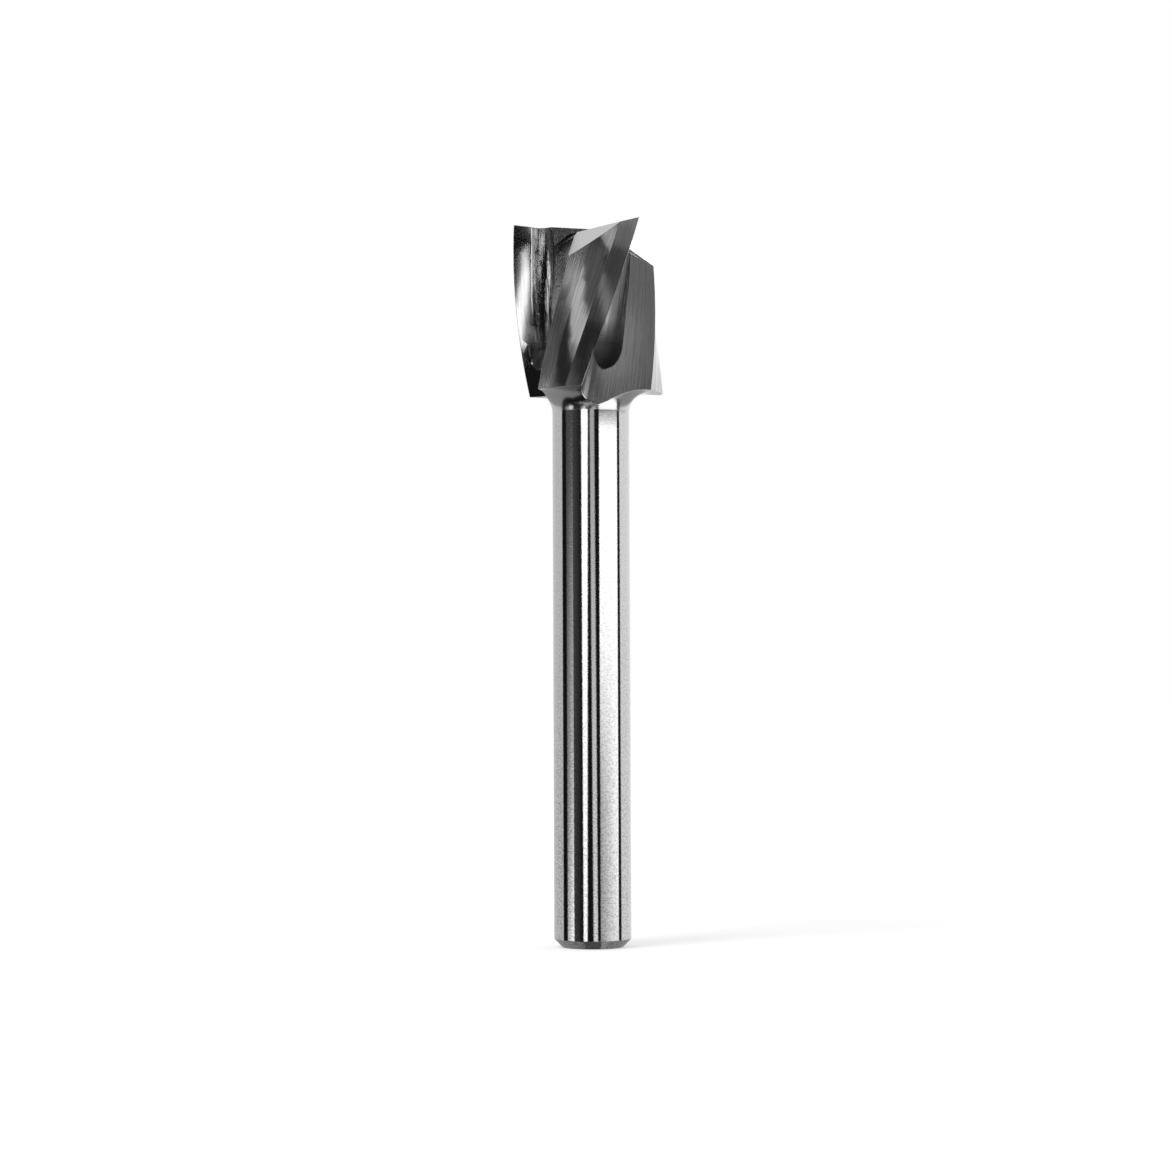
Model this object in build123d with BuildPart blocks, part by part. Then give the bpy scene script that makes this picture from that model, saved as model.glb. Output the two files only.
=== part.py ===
from build123d import *
from math import acos, cos, degrees, pi, radians, sin, sqrt, tan
import os

# Driving sizes in millimetres
shank_diameter = 6.0
cutting_diameter = 12.0
overall_length = 56.0
cutting_length = 13.0
shank_chamfer = 0.65
neck_fillet = 1.55

# Teeth, with angles in degrees measured from a cutting edge
tooth_count = 3
helix_angle = 20.0
tip_direction = -51.3
rake_angle = 6.5
land_angle = 13.75
land_back_radius = 5.7
heel_radius = 5.05
floor_clearance = 0.05
floor_lead_angle = 20.3
root_radius = 0.7

# Gullet ground into the flute along the foot of each rake face
gullet_radius = 1.75
gullet_depth = 0.5
gullet_bite = 0.03
gullet_end_height = 1.5
gullet_wheel_radius = 4.4

# Grinding of the cutting end
dish_angle = 2.0
end_land_width = 1.42
end_relief_angle = 15.0
end_clearance_angle = 41.0

# Gash that opens each flute towards the centre of the cutting end
gash_start = 0.5
gash_drop = 0.2
gash_slope_angle = 36.0
gash_lead_angle = 31.0
gash_corner = (1.45, 1.25)
gash_side_angle = 73.0
gash_root_radius = 0.8

# Sizes that follow from the ones above
shank_radius = shank_diameter / 2
cutting_radius = cutting_diameter / 2
head_base = overall_length - cutting_length
neck_base = head_base - neck_fillet
lead = pi * cutting_diameter / tan(radians(helix_angle))
tooth_pitch = 360 / tooth_count
floor_distance = shank_radius + floor_clearance
overrun = cutting_radius / 2
beyond = cutting_diameter


def edge_direction(height):
    """Direction of the first cutting edge, in degrees from +X, at a height."""
    return tip_direction + (height - overall_length) / lead * 360


def polar(radius, angle):
    """Point of a cross-section at a radius and an angle in degrees."""
    return Vector(radius, 0).rotate(Axis.Z, angle)


def crossing(point, direction, other_point, other_direction):
    """Where two lines of a cross-section meet."""
    across = other_direction.rotate(Axis.Z, 90)
    return point + direction * ((other_point - point).dot(across) / direction.dot(across))


# Corners of one tooth's outline, with its cutting edge on +X and its body behind it
edge_corner = polar(cutting_radius, 0)
land_corner = polar(land_back_radius, -land_angle)
heel_angle = tooth_pitch - floor_lead_angle - degrees(acos(floor_distance / heel_radius))
heel_corner = polar(heel_radius, -heel_angle)

# The flat flute floor runs from a heel to the rake face of the next tooth, and meets it in the root
floor_foot = polar(floor_distance, floor_lead_angle)
floor_along = polar(1, floor_lead_angle + 90)
root_corner = crossing(edge_corner, polar(1, rake_angle), floor_foot, floor_along)

# Bar with the section of all the teeth, turning with the helix as it climbs
with BuildPart() as fluted_bar:
    bar_height = overall_length + overrun - neck_base
    with BuildLine() as bar_axis:
        Line((0, 0, neck_base), (0, 0, neck_base + bar_height))
    with BuildLine() as bar_guide:
        Helix(lead, bar_height, cutting_radius, center=(0, 0, neck_base))
    with BuildSketch(Plane.XY.offset(neck_base)) as tooth_section:
        with BuildLine():
            corners = []
            for tooth in range(tooth_count):
                turn = edge_direction(neck_base) - tooth * tooth_pitch
                for corner in (root_corner, edge_corner, land_corner, heel_corner):
                    corners.append(corner.rotate(Axis.Z, turn))
            Polyline(*corners, close=True)
        make_face()
        roots = tooth_section.vertices().sort_by_distance((0, 0, neck_base))[:tooth_count]
        fillet(roots, radius=root_radius)
    sweep(path=bar_axis.line, binormal=bar_guide.line.edge())

# Centre of the gullet wheel's round rim, seen from the middle of the flute floor with +X pointing
# out of the floor: the rim sinks into the floor and bites a little into the foot of the rake face
rake_normal = polar(1, rake_angle + 90 - floor_lead_angle)
rake_point = (edge_corner - floor_foot).rotate(Axis.Z, -floor_lead_angle)
rim_rise = gullet_radius - gullet_depth
rim_reach = rake_point.dot(rake_normal) + gullet_radius - gullet_bite - rim_rise * rake_normal.X
rim_centre = (rim_rise, rim_reach / rake_normal.Y)

# Sweep of the gullet wheel, starting over +X: up along the helix, and out at its lower end
with BuildPart() as gullet_cutter:
    wheel_rise = gullet_wheel_radius - gullet_depth
    gullet_base = head_base + gullet_end_height + sqrt(gullet_wheel_radius**2 - wheel_rise**2)
    with BuildLine() as gullet_path:
        Helix(lead, overall_length + overrun - gullet_base, floor_distance, center=(0, 0, gullet_base))
    wheel_heading = Vector(0, sin(radians(helix_angle)), cos(radians(helix_angle)))
    path_start = Plane(origin=gullet_path.line @ 0, x_dir=(1, 0, 0), z_dir=wheel_heading)
    with BuildSketch(path_start) as rim_section:
        with Locations(rim_centre):
            Circle(gullet_radius)
    sweep(path=gullet_path.line, is_frenet=True)
    wheel_axis = Axis(path_start.origin + path_start.x_dir * wheel_rise, path_start.y_dir)
    revolve(rim_section.sketch, axis=wheel_axis, revolution_arc=-90)

# Room above one tooth's end faces, from its end cutting edge on +X back to the next tooth
end_centre = Vector(0, 0, overall_length - cutting_radius * tan(radians(dish_angle)))
end_edge = Vector(cos(radians(dish_angle)), 0, sin(radians(dish_angle)))
end_land_drop = end_land_width * tan(radians(end_relief_angle))
end_clearance_drop = (beyond - end_land_width) * tan(radians(end_clearance_angle))
with BuildPart() as relief_cutter:
    with BuildSketch(Plane(origin=end_centre, x_dir=(0, 1, 0), z_dir=end_edge)):
        with BuildLine():
            Polyline(
                (0, 0),
                (-end_land_width, -end_land_drop),
                (-beyond, -end_land_drop - end_clearance_drop),
                (-beyond, overrun),
                (0, overrun),
                close=True,
            )
        make_face()
    extrude(amount=beyond, both=True)
    with BuildSketch() as tooth_sector:
        with BuildLine():
            sector_rim = [polar(beyond, -tooth_pitch * share) for share in (0, 1 / 2, 1)]
            Polyline((0, 0), *sector_rim, close=True)
        make_face()
    extrude(tooth_sector.sketch, amount=overall_length + beyond, mode=Mode.INTERSECT)

# Gash in front of the end cutting edge on +X: an upright rake wall, and a floor that
# falls away towards the flute
gash_root = Vector(gash_start, 0, overall_length - gash_drop)
gash_normal = Vector(sin(radians(gash_slope_angle)), 0, cos(radians(gash_slope_angle)))
with BuildPart() as gash_cutter:
    with BuildSketch(Plane.XY.offset(head_base)):
        with BuildLine():
            gash_far = Vector(*gash_corner) + polar(beyond, gash_side_angle)
            Polyline((gash_start, 0), gash_corner, gash_far, (beyond, beyond), (beyond, 0), close=True)
        make_face()
    extrude(amount=cutting_length + overrun)
    split(bisect_by=Plane(origin=gash_root, z_dir=gash_normal.rotate(Axis.Z, gash_lead_angle)))
    gash_wall = gash_cutter.faces().sort_by(Axis.Y)[0]
    fillet(gash_wall.edges().sort_by(Axis.Z)[0], radius=gash_root_radius)

# The whole bit: the turned blank, with its head fluted, gulleted and ground at the end
with BuildPart() as router_bit:
    with BuildSketch(Plane.XZ):
        with BuildLine():
            head_outline = Polyline(
                (shank_radius, neck_base),
                (0, neck_base),
                (0, overall_length),
                (cutting_radius, overall_length),
                (cutting_radius, head_base),
                (shank_radius + neck_fillet, head_base),
            )
            RadiusArc(head_outline @ 1, head_outline @ 0, -neck_fillet)
        make_face()
    revolve(axis=Axis.Z)
    add(fluted_bar.part, mode=Mode.INTERSECT)
    with PolarLocations(0, tooth_count, edge_direction(gullet_base) + floor_lead_angle):
        add(gullet_cutter.part, mode=Mode.SUBTRACT)
    with PolarLocations(0, tooth_count, tip_direction):
        add(relief_cutter.part, mode=Mode.SUBTRACT)
    with PolarLocations(0, tooth_count, tip_direction):
        add(gash_cutter.part, mode=Mode.SUBTRACT)
    with BuildSketch():
        Circle(shank_radius)
    extrude(amount=neck_base)
    chamfer(router_bit.faces().sort_by(Axis.Z)[0].edges(), length=shank_chamfer)

router_bit.part.label = "router_bit"
os.makedirs("parts", exist_ok=True)
export_step(router_bit.part, "parts/router_bit.step")
print("solids", len(router_bit.solids()), "valid", router_bit.part.is_valid)
print("volume", round(router_bit.part.volume, 2), "faces", len(router_bit.faces()))
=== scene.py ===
# %% [markdown]
# # A spiral router bit, ground from one bar
#
# The real bit is one bar of hardened high-speed steel. Its shank is ground round and polished for the
# collet, its neck is turned, and wheels grind three helical flutes, the backs of the teeth and the
# cutting end. The CAD model already has all these forms in one solid, so this scene moves and adds
# nothing to it. What Blender adds is what the eye reads as steel: the finish that each wheel leaves,
# and something for it to reflect.

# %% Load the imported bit
import bpy
import math
import numpy as np
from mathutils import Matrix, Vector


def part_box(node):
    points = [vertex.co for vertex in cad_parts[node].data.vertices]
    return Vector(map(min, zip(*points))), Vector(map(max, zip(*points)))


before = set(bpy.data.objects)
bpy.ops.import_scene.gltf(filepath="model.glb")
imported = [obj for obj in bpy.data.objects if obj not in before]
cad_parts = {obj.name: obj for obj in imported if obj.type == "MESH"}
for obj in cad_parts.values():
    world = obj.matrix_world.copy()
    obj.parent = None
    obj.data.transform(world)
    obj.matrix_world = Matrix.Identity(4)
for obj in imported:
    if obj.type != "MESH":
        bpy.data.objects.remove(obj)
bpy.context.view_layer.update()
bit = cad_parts["router_bit"]
corners = [[round(float(c), 4) for c in corner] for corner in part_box("router_bit")]
print("lowest and highest corner of the bit, in m", *corners)

# %% [markdown]
# The finishes follow the bit's own sizes. They are repeated here in millimetres and degrees, as a
# drawing gives them, because the material works out from them where each wheel has been.

# %% Sizes of the bit
shank_radius = 3.0
cutting_radius = 6.0
overall_length = 56.0
head_base = 43.0
neck_fillet = 1.55
neck_base = head_base - neck_fillet
helix_angle = 20.0
tip_direction = -51.3
heel_angle = 46.9
tooth_pitch = 120.0
rake_angle = 6.5
floor_lead_angle = 20.3
floor_distance = 3.05
gullet_end_height = 1.5
gash_slope_angle = 36.0
lead = math.pi * 2 * cutting_radius / math.tan(math.radians(helix_angle))
print("lead of the helix", round(lead, 1), "mm")

# %% [markdown]
# Colours are written as sRGB hex, as a colour card gives them, and one function turns them to the
# linear values that Blender works in. A second small function adds a node with its settings and links,
# so that a whole material can be read line by line. A third lays values over each other: most of this
# material is one value for the whole bit, and then other values where a mask says that a surface is.

# %% Colour and node helpers
def linear(hex_colour):
    """RGBA in linear light from an sRGB hex colour."""
    steps = np.array([int(hex_colour[i:i + 2], 16) for i in (1, 3, 5)]) / 255
    light = np.where(steps <= 0.04045, steps / 12.92, ((steps + 0.055) / 1.055) ** 2.4)
    return (*light.tolist(), 1.0)


def add(tree, kind, inputs=None, **settings):
    """A new node with its settings, and its inputs given as values or as other nodes' outputs."""
    node = tree.nodes.new(kind)
    for name, value in settings.items():
        setattr(node, name, value)
    for name, value in (inputs or {}).items():
        if isinstance(value, bpy.types.NodeSocket):
            tree.links.new(value, node.inputs[name])
        else:
            node.inputs[name].default_value = value
    return node


def laid_over(tree, value, layers):
    """The value, with each layer's own value in turn put over it where that layer's mask is 1."""
    for mask, own in layers:
        value = add(tree, "ShaderNodeMix", {"Factor": mask, "A": value, "B": own}).outputs[0]
    return value


print("steel grey in linear light", [round(c, 3) for c in linear("#c6c6c7")[:3]])

# %% [markdown]
# ## What the steel reflects
#
# Steel has hardly a colour of its own: it shows the room. A product photographer therefore stands white
# panels and black boards round a bit, and their edges draw the bright and dark lines along a polished
# shank. Flat cards would do it too, but they cross each other and leave gaps. Each card here is a patch
# of an upright drum round the bit's axis instead, given by the turns and heights that it covers, so it
# says directly in which direction the steel finds it.

# %% Shape of a card
def card_points(foot, top, distance, steps=24):
    """Points (d sin a, -d cos a, z) of an upright curved card, where the turn a runs from the camera's
    side towards +X. foot and top are (first turn, last turn, height): turns in degrees, heights in mm.
    The sides run straight from the foot's turns to the top's. distance is d in mm, or d at the foot and
    d at the top."""
    across, up = np.meshgrid(np.linspace(0, 1, steps), np.linspace(0, 1, steps))
    first = foot[0] + (top[0] - foot[0]) * up
    last = foot[1] + (top[1] - foot[1]) * up
    a = np.radians(first + (last - first) * across)
    z = foot[2] + (top[2] - foot[2]) * up
    near, far = np.broadcast_to(distance, 2)
    d = near + (far - near) * up
    return np.stack([d * np.sin(a), -d * np.cos(a), z], axis=-1) / 1000


def grid_mesh(name, points):
    """A mesh of quads over a grid of points, with a UV map that runs 0 to 1 along both sides. The quad
    at row i and column j joins the points j and j + 1 of the rows i and i + 1."""
    rows, columns = points.shape[:2]
    corner = (np.arange(rows - 1)[:, None] * columns + np.arange(columns - 1)).ravel()
    quads = np.stack([corner, corner + 1, corner + columns + 1, corner + columns], axis=1)
    mesh = bpy.data.meshes.new(name)
    mesh.from_pydata(points.reshape(-1, 3).tolist(), [], quads.tolist())
    v, u = np.meshgrid(np.linspace(0, 1, rows), np.linspace(0, 1, columns), indexing="ij")
    uv = np.stack([u.ravel(), v.ravel()], axis=1)[quads.ravel()]
    mesh.uv_layers.new(name="card").data.foreach_set("uv", uv.astype(np.float32).ravel())
    return mesh


print("points on a card", card_points((0, 90, 0), (0, 90, 10), 16).shape)

# %% [markdown]
# A lit panel is never even: it fades towards the side that its lamp doesn't reach. Each card's glow
# therefore changes evenly over its own UV map, between the strengths at its corners. A strength of 1 is
# the white of the backdrop. The cards are stage, and no part of the bit: the camera and the floor don't
# see them, and they cast no shadow.

# %% Glow of a card, and how it stands
def card_glow(name, low, high):
    """A glow that changes evenly from low at the card's foot to high at its top. Each is one strength,
    or the strengths at the first and the last turn."""
    material = bpy.data.materials.new(name)
    material.use_nodes = True
    tree = material.node_tree
    tree.nodes.clear()
    place = add(tree, "ShaderNodeUVMap", uv_map="card")
    place = add(tree, "ShaderNodeSeparateXYZ", {"Vector": place.outputs["UV"]})
    ends = []
    for strengths in (low, high):
        first, last = np.broadcast_to(strengths, 2).tolist()
        along = {"Value": place.outputs["X"], "To Min": first, "To Max": last}
        ends.append(add(tree, "ShaderNodeMapRange", along).outputs[0])
    upwards = {"Factor": place.outputs["Y"], "A": ends[0], "B": ends[1]}
    strength = add(tree, "ShaderNodeMix", upwards).outputs[0]
    glow = add(tree, "ShaderNodeEmission", {"Strength": strength})
    add(tree, "ShaderNodeOutputMaterial", {"Surface": glow.outputs["Emission"]})
    return material


def stand_card(name, foot, top, distance, low, high):
    """A card that only reflections see."""
    card = bpy.data.objects.new(name, grid_mesh(name, card_points(foot, top, distance)))
    card.data.materials.append(card_glow(name, low, high))
    bpy.context.scene.collection.objects.link(card)
    card.visible_camera = False
    card.visible_diffuse = False
    card.visible_shadow = False
    card.visible_transmission = False


print("full white is a strength of", 1.0)

# %% [markdown]
# The far cards are the room. From six metres away, every point of the bit finds them in the same
# direction, so they are given by elevation as seen from the middle of the bit. Black boards stand on the
# camera's side, pale walls stand left, right and behind, and narrow strips between the boards are the
# bright lines that run down the shank and over the flutes.

# %% Far cards
room_centre = 35
# name: foot (turn from, turn to, elevation), top (the same), distance in mm, glow at foot and at top
far_cards = {
    "under": ((-180, 180, -75), (-180, 180, -75), (5, 6200), 0.12, 0.12),
    "behind_low": ((95, 263, -75), (95, 263, -7), 6000, 0.2, 0.38),
    "floor_left": ((-97, -70, -75), (-97, -70, -53), 5500, 0.3, 0.3),
    "floor_right": ((8, 125, -75), (8, 125, -42), 5500, 0.5, 0.5),
    "dark_low": ((-97, 0, -75), (-97, 0, 7), 6000, 0.012, 0.012),
    "dark_low_front": ((0, 24, -75), (0, 24, 7), 6000, 0.035, 0.012),
    "dark_high": ((-97, -24, 7), (-97, -24, 24), 6000, 0.13, 0.13),
    "dark_front": ((-24, 24, 7), (-24, 24, 24), 6000, 0.08, 0.08),
    "dark_top": ((-97, 24, 24), (-97, 24, 75), 6000, 0.05, 0.03),
    "grey_front": ((24, 36, 7), (24, 36, 24), 6000, 0.26, 0.2),
    "grey_right": ((36, 72, 7), (36, 72, 24), 6000, 0.42, 0.26),
    "grey_far_right": ((72, 125, 7), (72, 125, 24), 6000, 0.2, 0.2),
    "grey_over_right": ((24, 125, 24), (24, 125, 34), 6000, 0.2, 0.2),
    "dark_over_right": ((24, 125, 34), (24, 125, 75), 6000, 0.05, 0.05),
    "dark_right": ((24, 125, -75), (24, 93.5, 7), 5800, 0.04, 0.02),
    "left_wall": ((-180, -97, -8), (-180, -97, 8), 5900, 0.78, 0.78),
    "right_wall": ((93.5, 180, -7), (93.5, 180, 8), 5900, (1.1, 1.05), (1.1, 1.05)),
    "left_low": ((-80, -57, -7), (-80, -57, -3), 5600, (1.2, 2.2), (0.3, 1.1)),
    "left_middle": ((-80, -57, -3), (-80, -57, 4), 5600, (0.3, 1.1), (0.08, 0.2)),
    "left_fade": ((-57, -30, -9), (-57, -30, 6), 5600, (0.09, 0.01), (0.09, 0.01)),
    "left_high": ((-81, -57, 4), (-81, -57, 7), 5600, 0.09, 0.09),
    "left_foot": ((-68, -57, -13), (-68, -57, -7), 5600, 1.9, 1.9),
    "beside_camera": ((-26, -18.5, -9), (-30, -8, 8), 5600, 1.9, 1.9),
    "below_camera": ((-4, 4, -20), (-26, -16, -14.5), 5400, 1.9, 1.9),
    "centre_strip": ((5, 17, -9), (-6, 7, 9), 5600, 1.35, 0.4),
    "low_strip": ((-50, -19, -30.5), (3, 21, -26), 5400, 2.3, 2.3),
    "right_low": ((4, 36, -23.5), (30, 60, -16), 5400, 1.5, 1.5),
    "right_upper": ((66, 84, 1), (64, 80, 9), 5600, 1.2, 0.9),
    "behind_right": ((152, 180, 14), (152, 180, 27), 5400, 3.0, 3.0),
}
for name, (foot, top, distance, low, high) in far_cards.items():
    reach = max(np.broadcast_to(distance, 2))
    foot = (foot[0], foot[1], room_centre + reach * math.tan(math.radians(foot[2])))
    top = (top[0], top[1], room_centre + reach * math.tan(math.radians(top[2])))
    stand_card(name, foot, top, distance, low, high)
print("far cards", len(far_cards))

# %% [markdown]
# The near cards stand a few centimetres from the bit, given by their heights in millimetres. From so
# near, each height of the bit finds them in another direction. That is what slants the light band over
# the wide back of the front tooth, leaves the dark wedge in it, and ends the shank's broad highlight
# below the neck.

# %% Near cards
# name: foot (turn from, turn to, height in mm), top (the same), distance in mm, glow at foot and at top
near_cards = {
    "right_panel_foot": ((21.6, 76.5, -3), (21.6, 76.5, 11), 16, (0.5, 1.5), (0.66, 1.9)),
    "right_panel_middle": ((21.6, 76.5, 11), (21.6, 76.5, 24), 16, (0.66, 1.9), (1.8, 1.9)),
    "right_panel": ((21.6, 76.5, 24), (21.6, 76.5, 41.3), 16, (1.8, 1.9), 1.9),
    "right_panel_top": ((21.6, 76.5, 41.3), (21.6, 76.5, 42.6), 16, 1.5, 0.6),
    "root_board": ((30, 78, 42.6), (30, 78, 46.2), 15, 0.3, 0.28),
    "root_board_right": ((78, 120, 42.6), (78, 120, 46.2), 15, 0.4, 0.2),
    "left_board_foot": ((-100, -18, 48.5), (-100, -18, 52), 35, 0.22, 0.03),
    "left_board": ((-100, -14, 52), (-100, -14, 55.3), 35, 0.03, 0.03),
    "front_board": ((-28, -14, 55.3), (-28, -14, 57.2), 35, 0.03, 0.03),
    "left_strip": ((-45, -28, 55.2), (-45, -28, 60), 35, 0.8, 0.7),
    "left_strip_far": ((-68, -45, 56), (-68, -45, 60.2), 35, 0.7, 0.7),
    "left_strip_end": ((-86, -68, 55.6), (-86, -68, 60), 35, 0.35, 0.35),
    "middle_strip": ((-15, 10, 57.4), (-15, 10, 59), 35, 0.3, 0.3),
    "upper_strip": ((-19, -8, 66.5), (-19, -8, 72), 35, 0.6, 0.6),
}
for name, (foot, top, distance, low, high) in near_cards.items():
    stand_card(name, foot, top, distance, low, high)
print("near cards", len(near_cards))

# %% [markdown]
# ## The white studio
#
# The bit is photographed on plain white. A white wall and floor, lit until they are white, would throw
# more light on the bit too. So the world is white by its own strength, which Light Path sets: 1 for the
# camera, a little less for reflections, and 0.7 for the light that falls on the floor.

# %% White world
daylight = 0.7
reflected_more = 0.22
seen_more = 0.3
world = bpy.data.worlds.new("white_studio")
bpy.context.scene.world = world
world.use_nodes = True
tree = world.node_tree
tree.nodes.clear()
path = add(tree, "ShaderNodeLightPath")
reflected = {0: path.outputs["Is Glossy Ray"], 1: reflected_more, 2: daylight}
level = add(tree, "ShaderNodeMath", reflected, operation="MULTIPLY_ADD").outputs[0]
seen = {0: path.outputs["Is Camera Ray"], 1: seen_more, 2: level}
level = add(tree, "ShaderNodeMath", seen, operation="MULTIPLY_ADD").outputs[0]
light = add(tree, "ShaderNodeBackground", {"Color": linear("#ffffff"), "Strength": level})
add(tree, "ShaderNodeOutputWorld", {"Surface": light.outputs["Background"]})
print("seen by the camera", daylight + seen_more, "by reflections", round(daylight + reflected_more, 2))

# %% [markdown]
# One large, soft lamp stands at the upper left, in front. A sun lamp is used because its light is the
# same over the whole floor, so the floor shows no bright pool. The steel doesn't see the lamp, because a
# lamp's round highlight has no place among flat panels.

# %% Soft lamp
lamp = bpy.data.lights.new("soft_lamp", "SUN")
lamp.angle = math.radians(25)
lamp.energy = 1.3
lamp_object = bpy.data.objects.new("soft_lamp", lamp)
lamp_object.location = (-0.22, -0.2, 0.35)
lamp_object.rotation_euler = (math.radians(40), 0, math.radians(-48))
lamp_object.visible_glossy = False
bpy.context.scene.collection.objects.link(lamp_object)
print("soft lamp, width of its disc in degrees", round(math.degrees(lamp.angle)))

# %% [markdown]
# The floor is matte white paper, four metres square, so its edges stay out of sight. Matte paper under
# this plain light is a pale grey, and the white of the photograph is added for the camera alone, as a
# glow of its own. The bit's soft shadow stays in the matte part.

# %% Floor
half = 2.0
white_for_camera = 0.54
floor_corners = [(-half, -half, 0), (half, -half, 0), (half, half, 0), (-half, half, 0)]
floor_mesh = bpy.data.meshes.new("floor")
floor_mesh.from_pydata(floor_corners, [], [(0, 1, 2, 3)])
floor = bpy.data.objects.new("floor", floor_mesh)

# Uncoated white paper: fully matte, with no gloss at all
paper = bpy.data.materials.new("white_paper")
paper.use_nodes = True
tree = paper.node_tree
tree.nodes.clear()
path = add(tree, "ShaderNodeLightPath")
matte = add(tree, "ShaderNodeBsdfDiffuse", {"Color": linear("#bcbcbc")})
own = add(tree, "ShaderNodeEmission", {"Color": linear("#ffffff"), "Strength": white_for_camera})
both = add(tree, "ShaderNodeAddShader", {0: matte.outputs["BSDF"], 1: own.outputs["Emission"]})
choice = {0: path.outputs["Is Camera Ray"], 1: matte.outputs["BSDF"], 2: both.outputs["Shader"]}
shown = add(tree, "ShaderNodeMixShader", choice)
add(tree, "ShaderNodeOutputMaterial", {"Surface": shown.outputs["Shader"]})
floor_mesh.materials.append(paper)
floor.visible_glossy = False
bpy.context.scene.collection.objects.link(floor)
print("floor", 2 * half, "m square")

# %% [markdown]
# The camera stands where the photograph was taken from: near the bit, level with the middle of the
# shank, and looking up a little, so the head's cutting end is seen from just below. The lens is given by
# the distance in pixels that fits the photograph's perspective.

# %% Camera
photo_width = 1172
lens_in_pixels = 3000
look_up, roll, turn_left = 1.83, 0.22, 0.113
camera = bpy.data.cameras.new("camera")
camera.sensor_width = 36.0
camera.lens = camera.sensor_width * lens_in_pixels / photo_width
camera.clip_start = 0.01
camera_object = bpy.data.objects.new("camera", camera)
camera_object.location = (0, -0.233, 0.0205)
camera_object.rotation_euler = [math.radians(a) for a in (90 + look_up, roll, turn_left)]
bpy.context.scene.collection.objects.link(camera_object)
bpy.context.scene.camera = camera_object
bpy.context.scene.view_settings.view_transform = "Standard"
print("lens", round(camera.lens, 1), "mm")

# %% [markdown]
# ## Where each wheel has been
#
# One bar of steel carries several finishes, and the bit's mesh has one material slot. Painting the
# finishes by hand would need a UV map, and would move off the edges when a size changes. So the material
# works out where a point lies. It takes the point in millimetres and turns the helix out of it, after
# which every cross-section looks like the one at the tip.

# %% Position on the bit
# Hardened high-speed steel, ground and on the shank polished: a hard neutral grey metal that shows
# sharp reflections where it is polished, and streaked ones where a wheel has left its lines
steel = bpy.data.materials.new("ground_high_speed_steel")
steel.use_nodes = True
tree = steel.node_tree
tree.nodes.clear()

place = add(tree, "ShaderNodeTexCoord")
metres_to_mm = (1000, 1000, 1000)
in_mm = {0: place.outputs["Object"], 1: metres_to_mm}
mm = add(tree, "ShaderNodeVectorMath", in_mm, operation="MULTIPLY").outputs[0]
z = add(tree, "ShaderNodeSeparateXYZ", {0: mm}).outputs["Z"]

twist = 2 * math.pi / lead
edge_at_zero = math.radians(tip_direction) - twist * overall_length
turned_back = {0: z, 1: -twist, 2: -edge_at_zero}
turn = add(tree, "ShaderNodeMath", turned_back, operation="MULTIPLY_ADD").outputs[0]
untwist = {"Vector": mm, "Angle": turn}
straight = add(tree, "ShaderNodeVectorRotate", untwist, rotation_type="Z_AXIS").outputs[0]
print("twist", round(math.degrees(twist), 2), "degrees per mm")

# %% [markdown]
# The three teeth are then folded on to one, whose cutting edge lies on +X. WRAP folds the angle round
# the axis into one tooth's share, from the heel behind the edge to the heel of the tooth in front.
# Radius, cosine and sine give the point in that tooth's own plane.

# %% The three teeth folded on to one
section = add(tree, "ShaderNodeSeparateXYZ", {0: straight})
flat = add(tree, "ShaderNodeVectorMath", {0: straight, 1: (1, 1, 0)}, operation="MULTIPLY").outputs[0]
radius = add(tree, "ShaderNodeVectorMath", {0: flat}, operation="LENGTH").outputs["Value"]
around_axis = {0: section.outputs["Y"], 1: section.outputs["X"]}
angle = add(tree, "ShaderNodeMath", around_axis, operation="ARCTAN2").outputs[0]
one_tooth = {0: angle, 1: math.radians(tooth_pitch - heel_angle), 2: math.radians(-heel_angle)}
folded = add(tree, "ShaderNodeMath", one_tooth, operation="WRAP").outputs[0]
cosine = add(tree, "ShaderNodeMath", {0: folded}, operation="COSINE").outputs[0]
sine = add(tree, "ShaderNodeMath", {0: folded}, operation="SINE").outputs[0]
tooth_x = add(tree, "ShaderNodeMath", {0: radius, 1: cosine}, operation="MULTIPLY").outputs[0]
tooth_y = add(tree, "ShaderNodeMath", {0: radius, 1: sine}, operation="MULTIPLY").outputs[0]
tooth_point = add(tree, "ShaderNodeCombineXYZ", {"X": tooth_x, "Y": tooth_y}).outputs[0]
print("one tooth's share, degrees", -heel_angle, "to", tooth_pitch - heel_angle)

# %% [markdown]
# ## Masks for the surfaces
#
# Each mask is 1 on its own surface and 0 elsewhere. In the tooth's plane, the rake face is a straight
# line, and the flute floor is another one. A dot product with such a line's normal says on which side of
# it a point lies: ahead of the rake face is the open flute, behind it are the lands. The gullet bites a
# little into the foot of the rake face, so the line gives way there, nearer to the axis. A surface lies
# exactly on its own line, where rounding would speckle the mask, so each limit stands a little off it.

# %% Flute and floor
# Radius at which the bite begins, radius at which it is full, and its depth, in mm
bite_from, bite_to, bite_depth = 5.4, 5.2, 0.15
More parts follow.
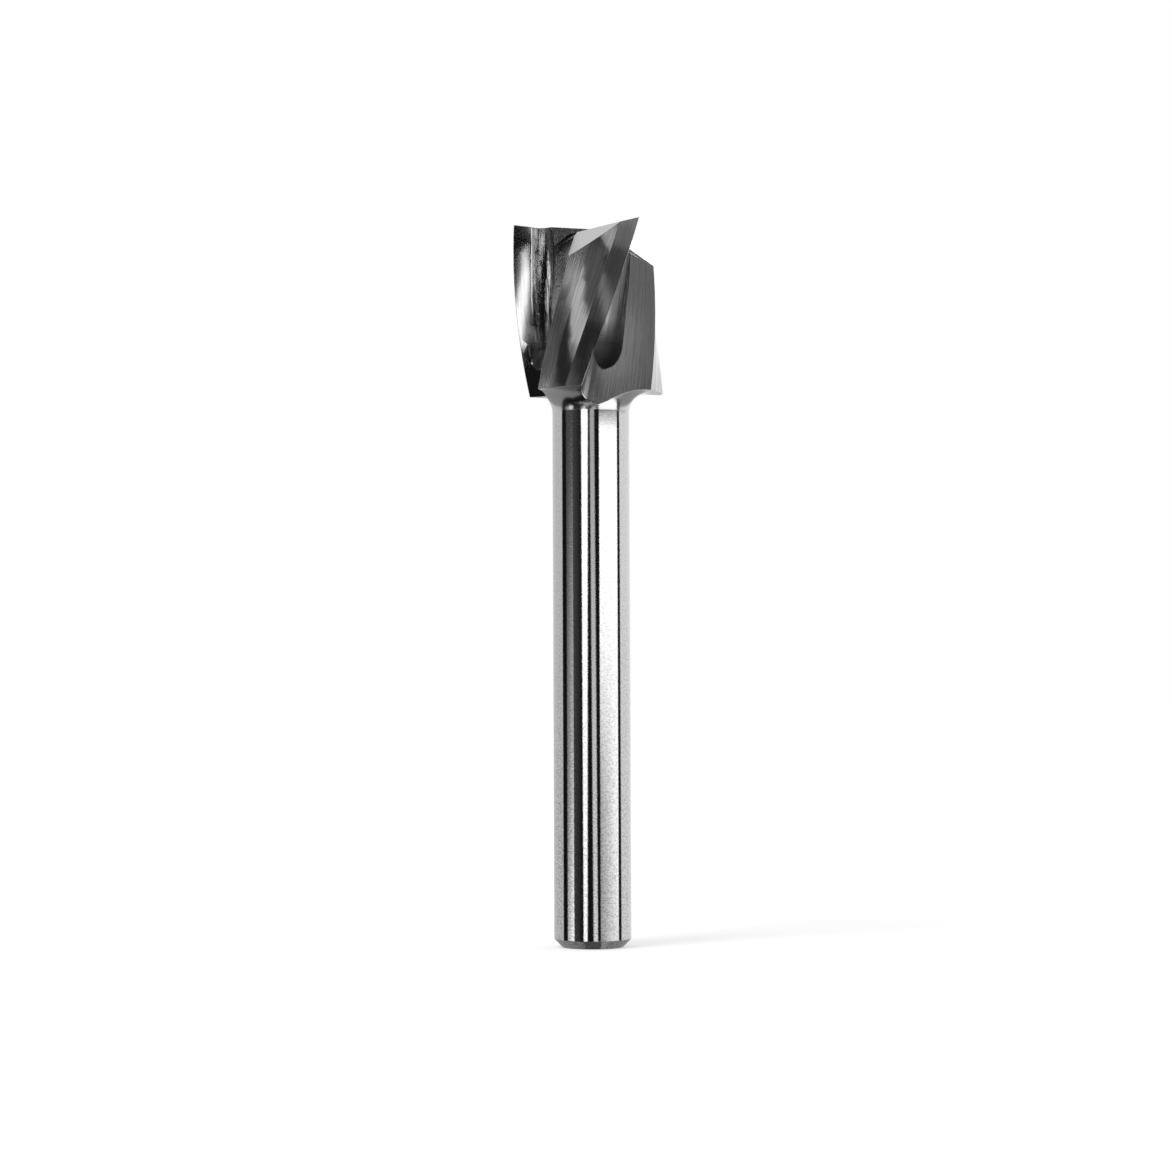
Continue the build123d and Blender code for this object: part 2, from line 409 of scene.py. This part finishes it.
# How far the limits stand off the rake face, above the floor and below it, in mm
off_rake, above_floor, below_floor = 0.05, 0.07, 0.015
rake_normal = (-math.sin(math.radians(rake_angle)), math.cos(math.radians(rake_angle)), 0)
ahead_of_rake = {0: tooth_point, 1: rake_normal}
ahead = add(tree, "ShaderNodeVectorMath", ahead_of_rake, operation="DOT_PRODUCT").outputs["Value"]
rake_line = cutting_radius * rake_normal[0]
towards_axis = {"Value": radius, "From Min": bite_from, "From Max": bite_to}
inward = add(tree, "ShaderNodeMapRange", towards_axis).outputs[0]
line_gives_way = {0: inward, 1: bite_depth, 2: ahead}
bitten = add(tree, "ShaderNodeMath", line_gives_way, operation="MULTIPLY_ADD").outputs[0]
past_rake = {0: bitten, 1: rake_line - off_rake}
in_flute = add(tree, "ShaderNodeMath", past_rake, operation="GREATER_THAN").outputs[0]
over_neck = add(tree, "ShaderNodeMath", {0: z, 1: head_base}, operation="GREATER_THAN").outputs[0]
flute = add(tree, "ShaderNodeMath", {0: in_flute, 1: over_neck}, operation="MULTIPLY").outputs[0]

floor_normal = (math.cos(math.radians(floor_lead_angle)), math.sin(math.radians(floor_lead_angle)), 0)
out_of_floor = {0: tooth_point, 1: floor_normal}
rise = add(tree, "ShaderNodeVectorMath", out_of_floor, operation="DOT_PRODUCT").outputs["Value"]
floor_limit = {0: rise, 1: floor_distance + above_floor}
low = add(tree, "ShaderNodeMath", floor_limit, operation="LESS_THAN").outputs[0]
gullet_limit = {0: rise, 1: floor_distance - below_floor}
sunk = add(tree, "ShaderNodeMath", gullet_limit, operation="LESS_THAN").outputs[0]
print("rake line", round(rake_line, 3), "mm, flute floor", floor_distance, "mm from the axis")

# %% [markdown]
# The gullet is the deeper groove along the foot of each rake face. It ends in a scoop where the wheel
# was lifted out, so its lower limit is a parabola over the folded angle, lowest in the gullet's middle.
# Above it, what lies below the flute floor or beside the rake face has been cut by the gullet's wheel.
# Further out, the rake face keeps its own finish.

# %% Gullet and rake face
# Folded angles of the gullet's far side and of the rake face's foot, in degrees
gullet_side, rake_foot = 42.4, 26
# Height of the scoop's side over its middle, and radii between which the rake face takes over, in mm
scoop_height = 1.7
seam_from, seam_to = 4.5, 4.7
across_gullet = {
    "Value": folded,
    "From Min": math.radians(floor_lead_angle),
    "From Max": math.radians(gullet_side),
    "To Min": 0,
    "To Max": 1,
}
off_middle = add(tree, "ShaderNodeMapRange", across_gullet, clamp=False).outputs[0]
bowed = add(tree, "ShaderNodeMath", {0: off_middle, 1: off_middle}, operation="MULTIPLY").outputs[0]
scoop = {0: bowed, 1: scoop_height, 2: head_base + gullet_end_height}
gullet_foot = add(tree, "ShaderNodeMath", scoop, operation="MULTIPLY_ADD").outputs[0]
above_foot = add(tree, "ShaderNodeMath", {0: z, 1: gullet_foot}, operation="GREATER_THAN").outputs[0]
towards_rake = {0: folded, 1: math.radians(rake_foot)}
near_rake = add(tree, "ShaderNodeMath", towards_rake, operation="LESS_THAN").outputs[0]
rake_side = add(tree, "ShaderNodeMath", {0: near_rake, 1: above_foot}, operation="MULTIPLY").outputs[0]
ground_deep = add(tree, "ShaderNodeMath", {0: rake_side, 1: sunk}, operation="MAXIMUM").outputs[0]
ground_deep = add(tree, "ShaderNodeMath", {0: ground_deep, 1: flute}, operation="MULTIPLY").outputs[0]

seam = {"Value": radius, "From Min": seam_from, "From Max": seam_to}
past_gullet = add(tree, "ShaderNodeMapRange", seam).outputs[0]
in_reach = add(tree, "ShaderNodeMath", {0: 1.0, 1: past_gullet}, operation="SUBTRACT").outputs[0]
rake_face = add(tree, "ShaderNodeMath", {0: near_rake, 1: flute}, operation="MULTIPLY").outputs[0]
on_rake = add(tree, "ShaderNodeMath", {0: rake_face, 1: past_gullet}, operation="MULTIPLY").outputs[0]
on_gullet = add(tree, "ShaderNodeMath", {0: ground_deep, 1: in_reach}, operation="MULTIPLY").outputs[0]
print("gullet ends", head_base + gullet_end_height, "mm up")

# %% [markdown]
# In the scoop the wheel came to a stop, and the steel there is dull. Its dark tone is painted shade, for
# the shade that lies in the scoop. The mask fades in over the last two millimetres. It also takes in the
# small bite that the scoop leaves in the rake face.

# %% Dull end of the gullet, with painted shade
fade_from, fade_to = 48.5, 46.6
# What lies more than this behind the rake line has been bitten out, in mm
behind_line = 0.02
going_down = {"Value": z, "From Min": fade_from, "From Max": fade_to}
gullet_end = add(tree, "ShaderNodeMapRange", going_down).outputs[0]
run_out = add(tree, "ShaderNodeMath", {0: gullet_end, 1: inward}, operation="MULTIPLY").outputs[0]
short_of_rake = {0: ahead, 1: rake_line - behind_line}
behind_rake = add(tree, "ShaderNodeMath", short_of_rake, operation="LESS_THAN").outputs[0]
bite = add(tree, "ShaderNodeMath", {0: behind_rake, 1: flute}, operation="MULTIPLY").outputs[0]
# Where the gullet's wheel ground deep or bit the rake face: the scoop's dull finish and its painted
# shade
dull_and_shaded = add(tree, "ShaderNodeMath", {0: ground_deep, 1: bite}, operation="MAXIMUM").outputs[0]
on_gullet_end = add(tree, "ShaderNodeMath", {0: run_out, 1: dull_and_shaded}, operation="MULTIPLY").outputs[0]
print("gullet dull below", fade_to, "mm")

# %% [markdown]
# The neck is a hollow fillet, turned before the flutes were ground. Its skin lies at the shank's radius
# plus the fillet's, less a root: that of the fillet's radius squared minus the height in the neck
# squared. Where a flute has cut the neck away, the radius is smaller, and the finish is the flute's.

# %% Neck, shank and head
# How far the limits stand inside the neck's skin and above the head's lower end, in mm
under_skin, past_base = 0.05, 0.02
neck_up = add(tree, "ShaderNodeMath", {0: z, 1: neck_base}, operation="SUBTRACT").outputs[0]
neck_up = add(tree, "ShaderNodeClamp", {"Value": neck_up, "Min": 0, "Max": neck_fillet}).outputs[0]
neck_up_2 = add(tree, "ShaderNodeMath", {0: neck_up, 1: neck_up}, operation="MULTIPLY").outputs[0]
squares = {0: neck_fillet**2, 1: neck_up_2}
neck_in_2 = add(tree, "ShaderNodeMath", squares, operation="SUBTRACT").outputs[0]
neck_in = add(tree, "ShaderNodeMath", {0: neck_in_2}, operation="SQRT").outputs[0]
neck_reach = shank_radius + neck_fillet - under_skin
neck_skin = add(tree, "ShaderNodeMath", {0: neck_reach, 1: neck_in}, operation="SUBTRACT").outputs[0]
outside = add(tree, "ShaderNodeMath", {0: radius, 1: neck_skin}, operation="GREATER_THAN").outputs[0]
above_shank = add(tree, "ShaderNodeMath", {0: z, 1: neck_base}, operation="GREATER_THAN").outputs[0]
below_head = {0: z, 1: head_base + past_base}
under_head = add(tree, "ShaderNodeMath", below_head, operation="LESS_THAN").outputs[0]
between = add(tree, "ShaderNodeMath", {0: above_shank, 1: under_head}, operation="MULTIPLY").outputs[0]
on_neck = add(tree, "ShaderNodeMath", {0: between, 1: outside}, operation="MULTIPLY").outputs[0]
on_shank = add(tree, "ShaderNodeMath", {0: 1.0, 1: above_shank}, operation="SUBTRACT").outputs[0]
on_head = add(tree, "ShaderNodeMath", {0: above_shank, 1: on_neck}, operation="SUBTRACT").outputs[0]
print("neck from", neck_base, "to", head_base, "mm")

# %% [markdown]
# Below the gullet's scoop, the flute floor meets the rake face in a small round corner. The rim of the
# floor's wheel wears first, and leaves that corner duller than the floor. Its darker tone is painted
# shade, for the shade that lies in that hollow corner. Its mask fades in over the folded angle, and is
# held to the corner's own place by the masks that it is multiplied by.

# %% Flute floor and its corner
# Folded angles at which the corner begins and is full, in degrees
corner_from, corner_to = 14, 7
on_floor = add(tree, "ShaderNodeMath", {0: low, 1: on_head}, operation="MULTIPLY").outputs[0]
below_gullet = add(tree, "ShaderNodeMath", {0: 1.0, 1: above_foot}, operation="SUBTRACT").outputs[0]
corner_limits = [math.radians(a) for a in (corner_from, corner_to)]
corner_range = {"Value": folded, "From Min": corner_limits[0], "From Max": corner_limits[1]}
on_root = add(tree, "ShaderNodeMapRange", corner_range).outputs[0]
for mask in (in_reach, in_flute, below_gullet, on_head):
    on_root = add(tree, "ShaderNodeMath", {0: on_root, 1: mask}, operation="MULTIPLY").outputs[0]
print("nodes so far", len(tree.nodes))

# %% [markdown]
# The end's relief faces and gash are told from the sides by the way they face: upwards, near the top.
# The upward part of a face's normal is the cosine of its slope. The gash's floor has one known slope,
# and its rounded root is the only steeper face there.

# %% Faces of the cutting end
# Upward parts of the normals: least on the end, play round the gash floor's, most on its root
least_upward, slope_play, root_upward = 0.35, 0.03, 0.72
# Height above which the end's faces lie, in mm
end_from = 50.0
facing = add(tree, "ShaderNodeNewGeometry")
upward = add(tree, "ShaderNodeSeparateXYZ", {0: facing.outputs["Normal"]}).outputs["Z"]
faces_up = add(tree, "ShaderNodeMath", {0: upward, 1: least_upward}, operation="GREATER_THAN").outputs[0]
near_end = add(tree, "ShaderNodeMath", {0: z, 1: end_from}, operation="GREATER_THAN").outputs[0]
on_end = add(tree, "ShaderNodeMath", {0: faces_up, 1: near_end}, operation="MULTIPLY").outputs[0]
true_up = add(tree, "ShaderNodeSeparateXYZ", {0: facing.outputs["True Normal"]}).outputs["Z"]
gash_up = math.cos(math.radians(gash_slope_angle))
gash_floor = {0: true_up, 1: gash_up, 2: slope_play}
gash_slope = add(tree, "ShaderNodeMath", gash_floor, operation="COMPARE").outputs[0]
on_gash = add(tree, "ShaderNodeMath", {0: gash_slope, 1: on_end}, operation="MULTIPLY").outputs[0]
steep = add(tree, "ShaderNodeMath", {0: true_up, 1: root_upward}, operation="LESS_THAN").outputs[0]
on_gash_root = add(tree, "ShaderNodeMath", {0: steep, 1: on_end}, operation="MULTIPLY").outputs[0]
on_side = add(tree, "ShaderNodeMath", {0: on_head, 1: on_end}, operation="SUBTRACT").outputs[0]
on_side = add(tree, "ShaderNodeClamp", {"Value": on_side}).outputs[0]
print("upward part of the gash floor's normal", round(gash_up, 3))

# %% [markdown]
# ## Grinding marks
#
# A grinding wheel leaves fine lines in the direction that it travels, which on the head is the helix.
# With the helix already turned out of the point, noise that is stretched along Z follows it by itself.
# The lines of a real wheel's grit are a few hundredths of a millimetre wide, which is too fine to show,
# so they are drawn 0.1 and 0.4 mm wide here. Their depth differs with the wheel: shallow on the polished
# rake faces, deeper on the floor, and deepest in the gullet.

# %% Lines along the helix
along_helix = 0.03
coarse_line, fine_line = 1 / 2.5, 1 / 9
drawn_out = {0: straight, 1: (1, 1, along_helix)}
helical = add(tree, "ShaderNodeVectorMath", drawn_out, operation="MULTIPLY").outputs[0]
coarse_noise = {"Vector": helical, "Scale": 1 / coarse_line, "Detail": 4.0, "Roughness": 0.65}
coarse = add(tree, "ShaderNodeTexNoise", coarse_noise).outputs[0]
fine_noise = {"Vector": helical, "Scale": 1 / fine_line, "Detail": 2.0, "Roughness": 0.6}
fine = add(tree, "ShaderNodeTexNoise", fine_noise).outputs[0]
wheel_lines = add(tree, "ShaderNodeMath", {0: coarse, 1: fine}, operation="ADD").outputs[0]
side_marks = add(tree, "ShaderNodeMath", {0: wheel_lines, 1: on_side}, operation="MULTIPLY").outputs[0]

# Depth of the lines in mm on the lands, and then on each other surface
land_marks = 0.003
mark_depth = laid_over(tree, land_marks, ((on_floor, 0.008), (on_gullet, 0.016), (on_rake, 0.001)))
side_depth = add(tree, "ShaderNodeMath", {0: side_marks, 1: mark_depth}, operation="MULTIPLY").outputs[0]
line_length = round(coarse_line / along_helix)
print("lines", round(fine_line, 2), "and", coarse_line, "mm wide,", line_length, "mm long")

# %% [markdown]
# The shank and neck are turned and then polished on centres, so their faint marks run round them as
# rings, 0.07 mm high here. The noise that makes them is squeezed along Z and drawn out across it.

# %% Rings round the shank and neck
rings_per_mm = (2.5, 2.5, 14)
rings = add(tree, "ShaderNodeVectorMath", {0: mm, 1: rings_per_mm}, operation="MULTIPLY").outputs[0]
ring_noise = {"Vector": rings, "Scale": 1.0, "Detail": 3.0, "Roughness": 0.6}
ring_lines = add(tree, "ShaderNodeTexNoise", ring_noise).outputs[0]
ring_depth = laid_over(tree, 0.0, ((on_neck, 0.003), (on_shank, 0.002)))
print("rings", round(1 / rings_per_mm[2], 2), "mm high")

# %% [markdown]
# Polishing leaves the shank with pits, too small to be seen one by one. They break its highlights up
# into the fine speckle of the photograph. Real ones are a few hundredths of a millimetre across. Noise
# as fine as that would be lost between the picture's pixels, so they are drawn 0.2 mm wide and 0.13 mm
# high. Their depth is a bump here, and the same noise darkens them under Tone.
#
# All marks go into one bump, whose distance turns millimetres to metres. The Bevel node rounds every
# sharp edge by 0.05 mm for the light alone. That gives the edges the thin bright line of real ground
# steel, and leaves the mesh as the CAD made it.

# %% Pits in the shank, and soft edges
pits_per_mm = (5, 5, 7.5)
deepest_pit = 0.0016
edge_rounding = 0.05
pit_place = add(tree, "ShaderNodeVectorMath", {0: mm, 1: pits_per_mm}, operation="MULTIPLY").outputs[0]
pit_noise = {"Vector": pit_place, "Scale": 1.0, "Detail": 2.0, "Roughness": 0.7}
grain = add(tree, "ShaderNodeTexNoise", pit_noise).outputs[0]
pit_depth = add(tree, "ShaderNodeMath", {0: on_shank, 1: deepest_pit}, operation="MULTIPLY").outputs[0]
all_pits = {0: grain, 1: pit_depth, 2: side_depth}
pitted = add(tree, "ShaderNodeMath", all_pits, operation="MULTIPLY_ADD").outputs[0]
all_marks = {0: ring_lines, 1: ring_depth, 2: pitted}
depth = add(tree, "ShaderNodeMath", all_marks, operation="MULTIPLY_ADD").outputs[0]
soft_edges = add(tree, "ShaderNodeBevel", {"Radius": edge_rounding / 1000}, samples=4)
relief = {"Height": depth, "Strength": 1.0, "Distance": 0.001, "Normal": soft_edges.outputs["Normal"]}
marks = add(tree, "ShaderNodeBump", relief)
print("pits", round(1 / pits_per_mm[0], 2), "mm wide and", round(1 / pits_per_mm[2], 2), "mm high")

# %% [markdown]
# ## Finish of each surface
#
# Roughness is what tells a polished surface from a ground one. The shank is near a mirror, the lands and
# rake faces are finely ground, the flute floor and the end faces are duller, and the gullet's end and
# the corner are the dullest.

# %% Roughness
land_roughness = 0.1
roughness_on = (
    (on_floor, 0.22),
    (on_gullet, 0.1),
    (on_rake, 0.07),
    (on_gullet_end, 0.35),
    (on_root, 0.3),
    (on_end, 0.25),
    (on_neck, 0.2),
    (on_shank, 0.045),
)
rough = laid_over(tree, land_roughness, roughness_on)
print("roughness of the lands", land_roughness, "and of the shank", roughness_on[-1][1])

# %% [markdown]
# Steel reflects a little over half of the light, evenly over the colours. Light is lost in the grinding
# lines, so the same noise that makes them also streaks the tone. It is lost in the shank's pits too, and
# the more so towards the lower end, where the collet grips and wears the polish. The gullet, its end,
# the corner, the gash and the gash's root get painted shade: their tone is darkened for the shade that
# falls in such narrow places, where steel mostly shows steel.

# %% Tone
# Tones multiply the steel's own grey. The deepest pits' tone where the shank is clean and where it is
# worn, and the heights in mm between which it changes
clean_pit, worn_pit = 0.87, 0.56
clean_above, worn_below = 32, 8
streak_range = {"Value": wheel_lines, "From Min": 0.7, "From Max": 1.3, "To Min": 0.78, "To Max": 1.12}
streak = add(tree, "ShaderNodeMapRange", streak_range).outputs[0]
tone = laid_over(tree, 1.0, ((on_side, streak),))

wear_range = {"Value": z, "From Min": clean_above, "From Max": worn_below}
gripped = add(tree, "ShaderNodeMapRange", wear_range).outputs[0]
darkest = laid_over(tree, clean_pit, ((gripped, worn_pit),))
pit_range = {"Value": grain, "From Min": 0.3, "From Max": 0.6, "To Min": darkest, "To Max": 1.05}
pits = add(tree, "ShaderNodeMapRange", pit_range).outputs[0]
tone_on = (
    (on_shank, pits),
    # Painted shade in the gullet's groove
    (on_gullet, 0.8),
    # Painted shade in the gullet's scoop; its dull finish is the roughness
    (on_gullet_end, 0.22),
    # Painted shade in the hollow corner under the scoop
    (on_root, 0.42),
    (on_end, 0.88),
    # Painted shadow on the gash's floor, cast by the gash's wall
    (on_gash, 0.2),
    # Painted shade on the gash's rounded root, the darkest hollow
    (on_gash_root, 0.05),
)
tone = laid_over(tree, tone, tone_on)
tinted = {0: 1.0, 6: linear("#c6c6c7"), 7: tone}
tint = add(tree, "ShaderNodeMix", tinted, data_type="RGBA", blend_type="MULTIPLY").outputs[2]
print("surfaces with a tone of their own", len(tone_on))

# %% [markdown]
# Fine lines spread a reflection across themselves, which is anisotropy. The tangent says which way it
# spreads: up and down on the shank and neck, across their rings, and round the axis on the head, across
# the helical lines. The metal keeps Blender's usual IOR.

# %% Direction of the marks, and the steel put together
axis = add(tree, "ShaderNodeCombineXYZ", {"Z": 1.0}).outputs[0]
around = add(tree, "ShaderNodeVectorMath", {0: axis, 1: mm}, operation="CROSS_PRODUCT").outputs[0]
around = add(tree, "ShaderNodeVectorMath", {0: around}, operation="NORMALIZE").outputs[0]
spread = add(tree, "ShaderNodeMix", {0: on_head, 4: axis, 5: around}, data_type="VECTOR").outputs[1]
body = add(tree, "ShaderNodeBsdfPrincipled", {
    "Base Color": tint,
    "Metallic": 1.0,
    "Roughness": rough,
    "Anisotropic": 0.5,
    "Tangent": spread,
    "Normal": marks.outputs["Normal"],
})
add(tree, "ShaderNodeOutputMaterial", {"Surface": body.outputs["BSDF"]})
bit.material_slots[0].material = steel
print("nodes in the steel", len(tree.nodes))
